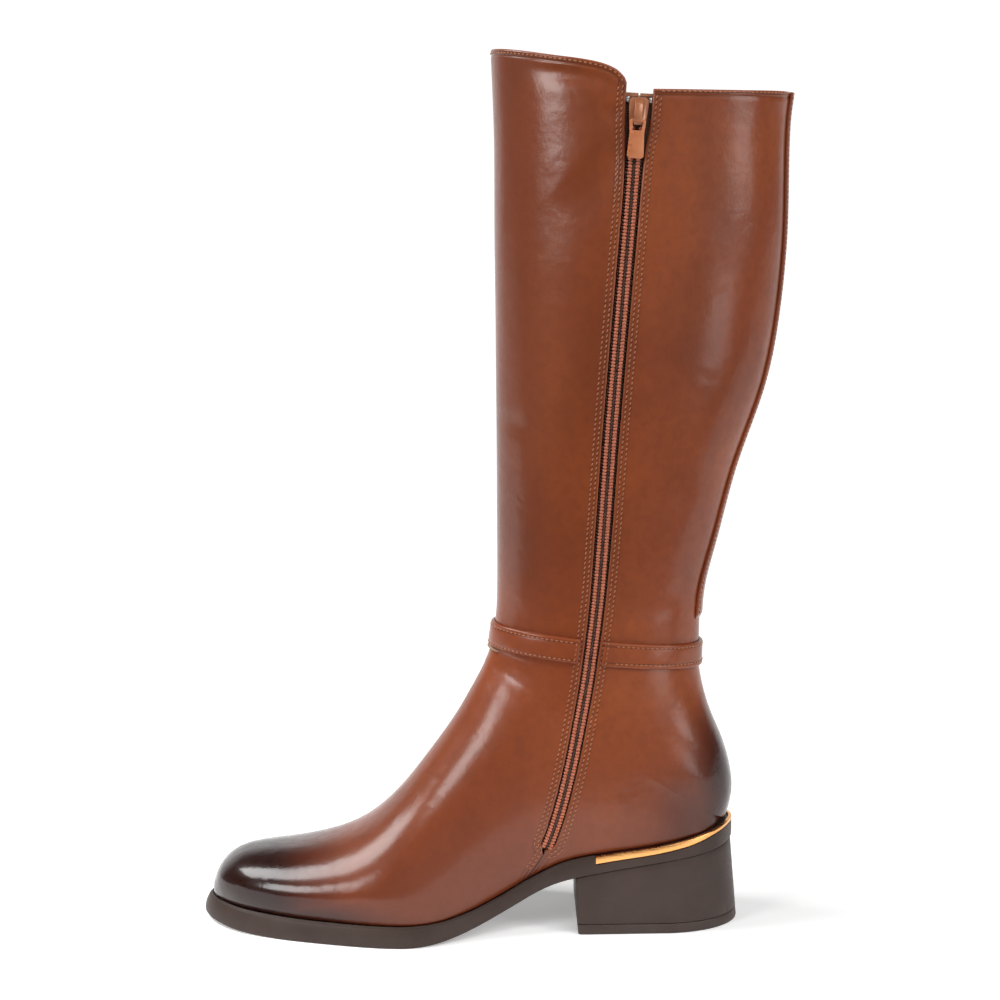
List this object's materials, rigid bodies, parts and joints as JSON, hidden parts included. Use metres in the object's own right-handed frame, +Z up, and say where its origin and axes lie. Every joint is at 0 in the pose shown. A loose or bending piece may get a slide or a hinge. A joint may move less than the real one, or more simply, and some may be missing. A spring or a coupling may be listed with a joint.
{
  "type": "knee-high boot",
  "caption": "Knee-high leather riding boot for the right foot, with a zip on the inner side, an ankle strap and a block heel.",
  "frame": {"origin": "middle of the heel's bottom face, on the floor", "axes": "+X towards the toe, +Y towards the inner side of the leg (the zip side), +Z up"},
  "size_m": [0.2856, 0.1006, 0.423],
  "materials": {
    "upper_leather": "polished smooth cognac leather, darker at toe and heel",
    "lining": "matt tan lining",
    "sole": "dark brown satin rubber",
    "heel": "dark brown satin covered heel",
    "heel_tip": "dark rubber top piece",
    "gold_trim": "brushed gold coloured metal strip",
    "zip_tape": "dark brown woven tape",
    "zip_coil": "dark brown nylon coil with rust coloured stitching",
    "zip_paint": "gloss tan painted metal",
    "zip_steel": "bare steel"
  },
  "bodies": {
    "boot": {"upper": "upper_leather", "insole": "lining", "outsole": "sole", "heel_trim_band": "gold_trim", "heel_block": "heel", "heel_lift": "heel_tip", "ankle_strap": "upper_leather", "back_stay": "upper_leather", "zip_tape_front": "zip_tape", "zip_tape_rear": "zip_tape", "zip_coil": "zip_coil", "zip_slider": "zip_paint", "zip_stop_front": "zip_steel", "zip_stop_rear": "zip_steel"},
    "pull_tab": {"zip_pull": "zip_paint"}
  },
  "joints": [
    {"name": "pull_tab_swing", "type": "hinge", "parent": "boot", "child": "pull_tab", "pos_m": [0.01582, 0.04539, 0.38859], "axis": [0.9973, -0.0269, 0.069], "range_deg": [0, 130]}
  ]
}
